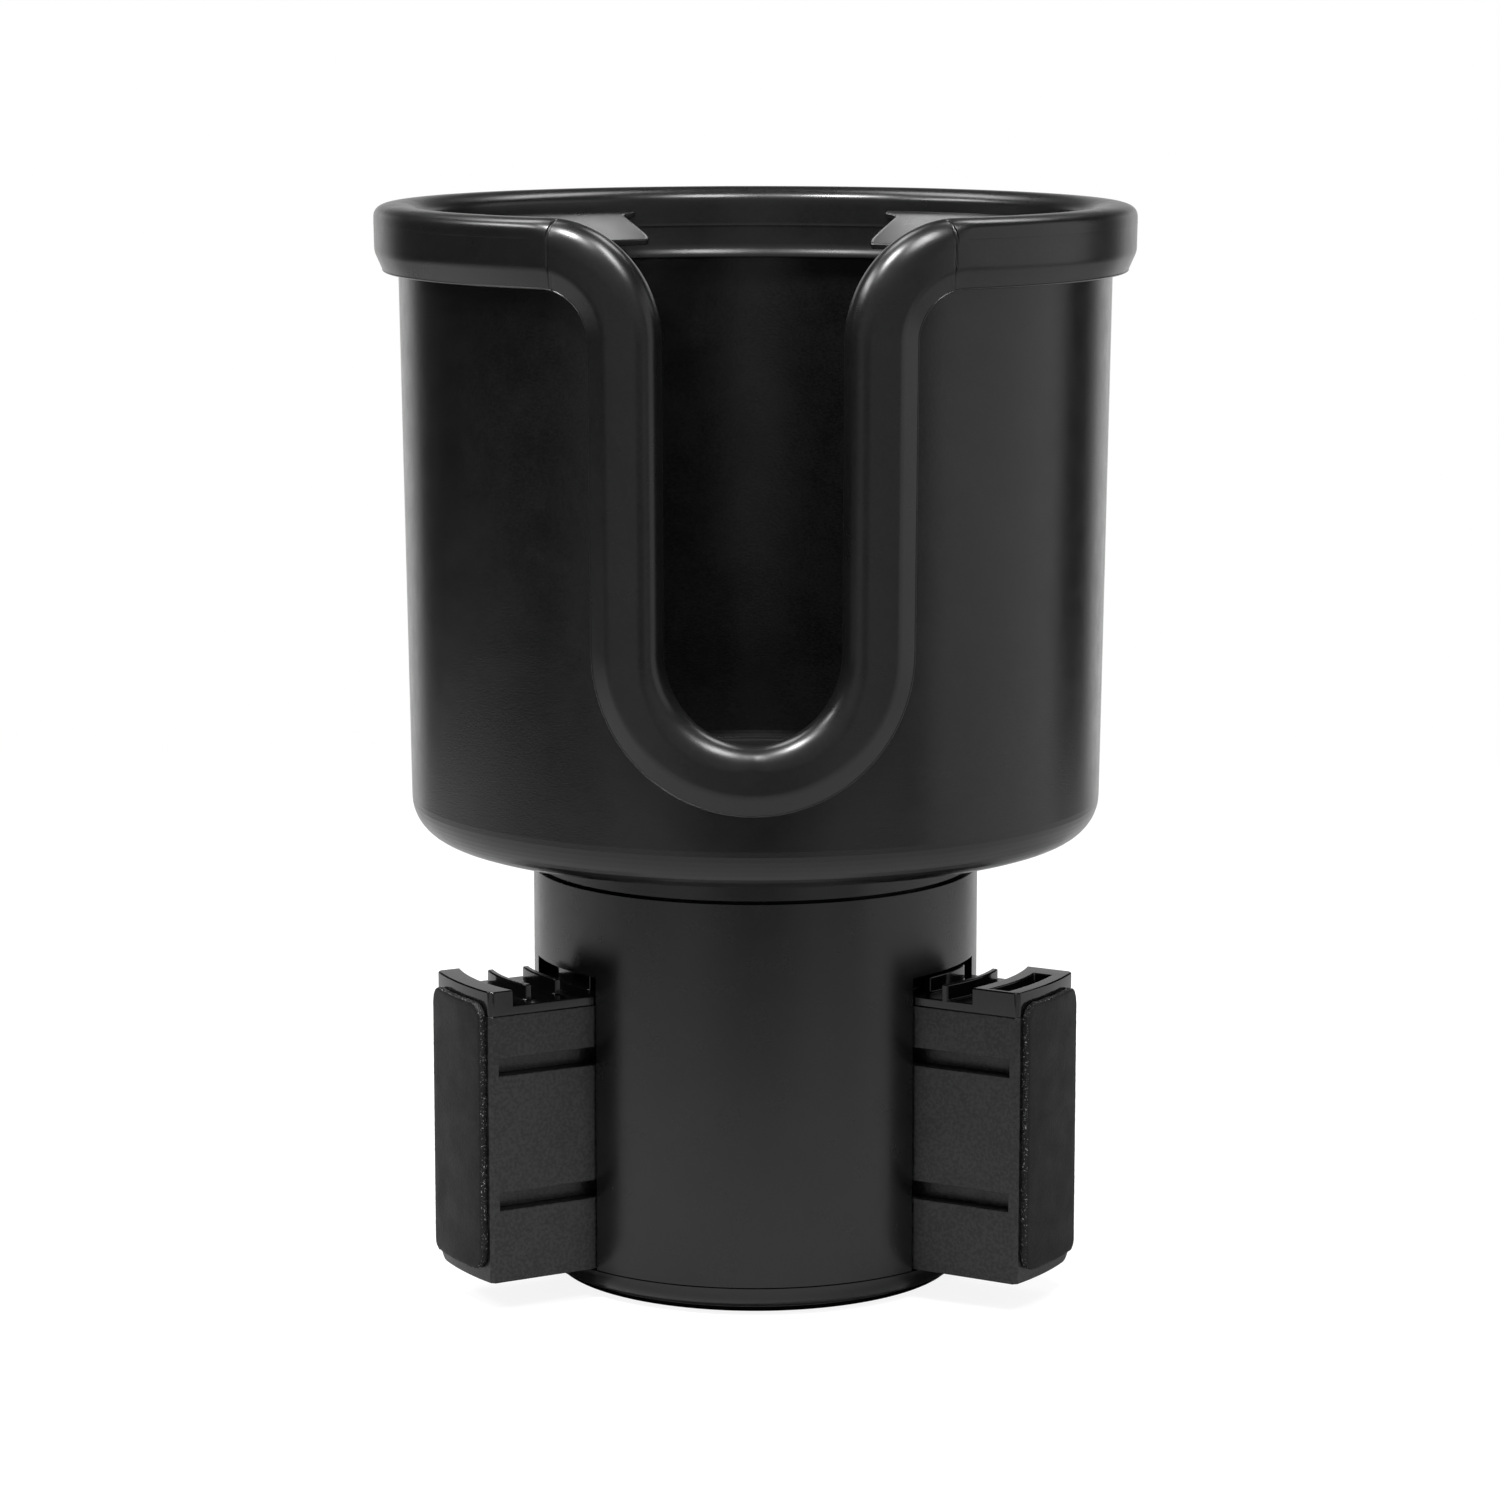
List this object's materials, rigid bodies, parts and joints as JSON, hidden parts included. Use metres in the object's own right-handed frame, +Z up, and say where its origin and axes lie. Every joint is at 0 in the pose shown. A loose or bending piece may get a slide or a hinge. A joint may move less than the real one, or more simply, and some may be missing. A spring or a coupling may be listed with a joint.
{
  "type": "cup holder adapter",
  "caption": "Car cup holder adapter: a wide cup with a U-shaped handle slot and soft rim trim, on a narrow turning base with sliding arms and grip pads.",
  "frame": {"origin": "centre of the foot's underside, on the axis that the cup turns about", "axes": "+Z up along the cup's axis, the handle slot faces -Y"},
  "size_m": [0.1142, 0.1132, 0.163],
  "materials": {
    "cup_plastic": "satin black with a fine moulded grain",
    "trim_rubber": "smooth satin black",
    "mat_rubber": "matt black",
    "screw_steel": "plated",
    "neck_plastic": "satin black",
    "scroll_plastic": "smooth black",
    "glide_plastic": "natural slippery plastic",
    "sleeve_plastic": "satin black with a fine moulded grain",
    "cover_plastic": "satin black",
    "foot_rubber": "matt black",
    "arm_plastic": "satin black",
    "rack_plastic": "glossy black",
    "pad_rubber": "matt black, with a speckled cut edge"
  },
  "bodies": {
    "base": {"base_sleeve": "sleeve_plastic", "base_plate": "cover_plastic", "base_screws": "screw_steel", "foot_pad": "foot_rubber", "glide_ring": "glide_plastic"},
    "cup": {"upper_cup": "cup_plastic", "rim_trim": "trim_rubber", "cup_mat": "mat_rubber", "cup_screws": "screw_steel", "neck_plate": "neck_plastic", "scroll_disc": "scroll_plastic", "scroll_screws": "screw_steel"},
    "left_arm": {"arm_left": "arm_plastic", "rack_left": "rack_plastic", "pad_left": "pad_rubber"},
    "right_arm": {"arm_right": "arm_plastic", "rack_right": "rack_plastic", "pad_right": "pad_rubber"},
    "rear_arm": {"arm_rear": "arm_plastic", "rack_rear": "rack_plastic", "pad_rear": "pad_rubber"}
  },
  "joints": [
    {"name": "cup_turn", "type": "hinge", "parent": "base", "child": "cup", "pos_m": [0, 0, 0.0534], "axis": [0, 0, 1], "range_deg": [0, 1055]},
    {"name": "left_arm_slide", "type": "slide", "parent": "base", "child": "left_arm", "axis": [-0.866, -0.5, 0], "range_m": [-0.017, 0]},
    {"name": "right_arm_slide", "type": "slide", "parent": "base", "child": "right_arm", "axis": [0.866, -0.5, 0], "range_m": [-0.017, 0]},
    {"name": "rear_arm_slide", "type": "slide", "parent": "base", "child": "rear_arm", "axis": [0, 1, 0], "range_m": [-0.017, 0]}
  ],
  "couplings": [
    {"joint": "left_arm_slide", "follows": "cup_turn", "m_per_rad": -0.0009231},
    {"joint": "right_arm_slide", "follows": "cup_turn", "m_per_rad": -0.0009231},
    {"joint": "rear_arm_slide", "follows": "cup_turn", "m_per_rad": -0.0009231}
  ]
}
